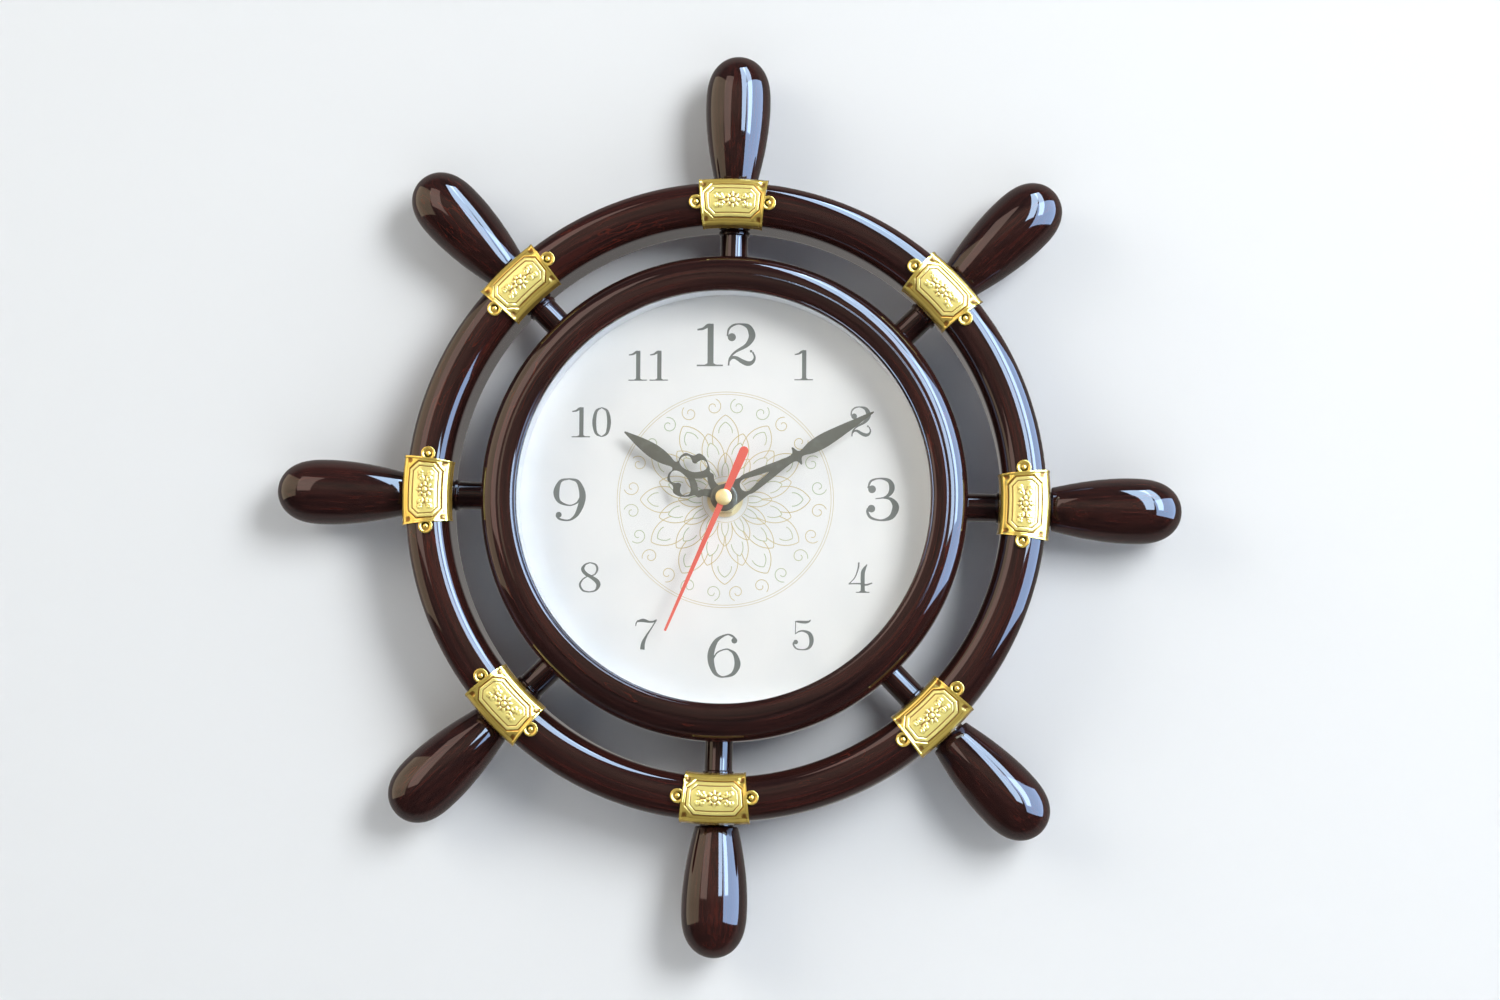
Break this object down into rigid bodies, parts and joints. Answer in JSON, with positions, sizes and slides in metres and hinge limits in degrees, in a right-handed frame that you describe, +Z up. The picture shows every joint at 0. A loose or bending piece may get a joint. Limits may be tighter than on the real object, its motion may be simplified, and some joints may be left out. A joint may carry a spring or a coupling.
{
  "type": "ship wheel wall clock",
  "caption": "Round analogue wall clock set in a ship's wheel with turned handles and gilt plaques over its rim; quartz movement behind the dial, hung by a keyhole.",
  "frame": {"origin": "on the wall plane, at the axis of the nail or screw that the keyhole hangs on, 87 mm above the clock's centre", "axes": "+Z up, +Y into the wall so that the dial faces -Y, +X to the right as the dial is read"},
  "size_m": [0.38, 0.0427, 0.38],
  "materials": {
    "mahogany_wood": "turned wood, stained dark mahogany red-brown under a high-gloss lacquer",
    "mahogany_gloss": "high-gloss clear coat over dark mahogany red-brown moulding with faint grain streaks",
    "gilt": "bright gilt plating over a moulded relief",
    "clear_lens": "clear flat lens",
    "dial_white": "satin white with printed grey numbers and line ornament",
    "hand_olive": "stamped and painted dark grey-olive, satin",
    "hand_red": "stamped and painted salmon red, satin",
    "zinc_steel": "zinc plated",
    "brass": "turned brass",
    "black_resin": "fine sparked texture, matt black",
    "gear_resin": "natural moulded acetal",
    "copper_winding": "enamelled copper wire",
    "board_green": "green solder mask",
    "battery_wrap": "plain dark wrap with bare steel ends"
  },
  "bodies": {
    "clock_body": {"wheel_ring": "mahogany_wood", "spoke_1": "mahogany_wood", "spoke_2": "mahogany_wood", "spoke_3": "mahogany_wood", "spoke_4": "mahogany_wood", "spoke_5": "mahogany_wood", "spoke_6": "mahogany_wood", "spoke_7": "mahogany_wood", "spoke_8": "mahogany_wood", "handle_1": "mahogany_wood", "handle_2": "mahogany_wood", "handle_3": "mahogany_wood", "handle_4": "mahogany_wood", "handle_5": "mahogany_wood", "handle_6": "mahogany_wood", "handle_7": "mahogany_wood", "handle_8": "mahogany_wood", "case_drum": "mahogany_gloss", "bezel_ring": "mahogany_gloss", "plaque_1": "gilt", "plaque_2": "gilt", "plaque_3": "gilt", "plaque_4": "gilt", "plaque_5": "gilt", "plaque_6": "gilt", "plaque_7": "gilt", "plaque_8": "gilt", "lens": "clear_lens", "dial_plate": "dial_white", "dial_spacer": "dial_white", "dial_screw_1": "zinc_steel", "dial_screw_2": "zinc_steel", "dial_screw_3": "zinc_steel", "dial_screw_4": "zinc_steel", "hanger_plate": "zinc_steel", "hanger_screw_1": "zinc_steel", "hanger_screw_2": "zinc_steel", "stator": "zinc_steel", "quartz_crystal": "zinc_steel", "contact_positive": "zinc_steel", "contact_negative": "zinc_steel", "hex_nut": "brass", "dial_washer": "brass", "movement_case": "black_resin", "movement_cover": "black_resin", "coil": "copper_winding", "circuit_board": "board_green"},
    "minute": {"minute_pipe": "gear_resin", "minute_hand": "hand_olive"},
    "hour": {"hour_wheel": "gear_resin", "hour_hand": "hand_olive"},
    "minute_wheel": {"minute_wheel": "gear_resin"},
    "setting_knob": {"setting_knob": "black_resin"},
    "second": {"second_wheel": "gear_resin", "second_hand": "hand_red"},
    "third_wheel": {"third_wheel": "gear_resin"},
    "center_wheel": {"center_wheel": "gear_resin"},
    "step_wheel": {"step_wheel": "gear_resin"},
    "rotor": {"rotor": "gear_resin"},
    "battery": {"battery": "battery_wrap"}
  },
  "joints": [
    {"name": "minute_turn", "type": "hinge", "parent": "clock_body", "child": "minute", "pos_m": [0, 0, -0.087], "axis": [0, 1, 0], "continuous": true},
    {"name": "hour_turn", "type": "hinge", "parent": "clock_body", "child": "hour", "pos_m": [0, 0, -0.087], "axis": [0, 1, 0], "continuous": true},
    {"name": "minute_wheel_turn", "type": "hinge", "parent": "clock_body", "child": "minute_wheel", "pos_m": [0.00762, 0, -0.0826], "axis": [0, 1, 0], "continuous": true},
    {"name": "setting_knob_turn", "type": "hinge", "parent": "clock_body", "child": "setting_knob", "pos_m": [0.01572, 0, -0.07792], "axis": [0, 1, 0], "continuous": true},
    {"name": "second_turn", "type": "hinge", "parent": "clock_body", "child": "second", "pos_m": [0, 0, -0.087], "axis": [0, 1, 0], "continuous": true},
    {"name": "third_wheel_turn", "type": "hinge", "parent": "clock_body", "child": "third_wheel", "pos_m": [-0.00957, 0, -0.08531], "axis": [0, 1, 0], "continuous": true},
    {"name": "center_wheel_turn", "type": "hinge", "parent": "clock_body", "child": "center_wheel", "pos_m": [0, 0, -0.087], "axis": [0, 1, 0], "continuous": true},
    {"name": "step_wheel_turn", "type": "hinge", "parent": "clock_body", "child": "step_wheel", "pos_m": [-0.00261, 0, -0.07726], "axis": [0, 1, 0], "continuous": true},
    {"name": "rotor_turn", "type": "hinge", "parent": "clock_body", "child": "rotor", "pos_m": [-0.00884, 0, -0.07366], "axis": [0, 1, 0], "continuous": true},
    {"name": "battery_slide", "type": "slide", "parent": "clock_body", "child": "battery", "axis": [0, 1, 0], "range_m": [0, 0.016]}
  ],
  "couplings": [
    {"joint": "hour_turn", "follows": "minute_turn", "ratio": 0.083333},
    {"joint": "minute_wheel_turn", "follows": "minute_turn", "ratio": -0.33333},
    {"joint": "setting_knob_turn", "follows": "minute_turn", "ratio": 0.8},
    {"joint": "third_wheel_turn", "follows": "second_turn", "ratio": -0.13333},
    {"joint": "center_wheel_turn", "follows": "second_turn", "ratio": 0.016667},
    {"joint": "step_wheel_turn", "follows": "second_turn", "ratio": -6},
    {"joint": "rotor_turn", "follows": "second_turn", "ratio": 30}
  ]
}
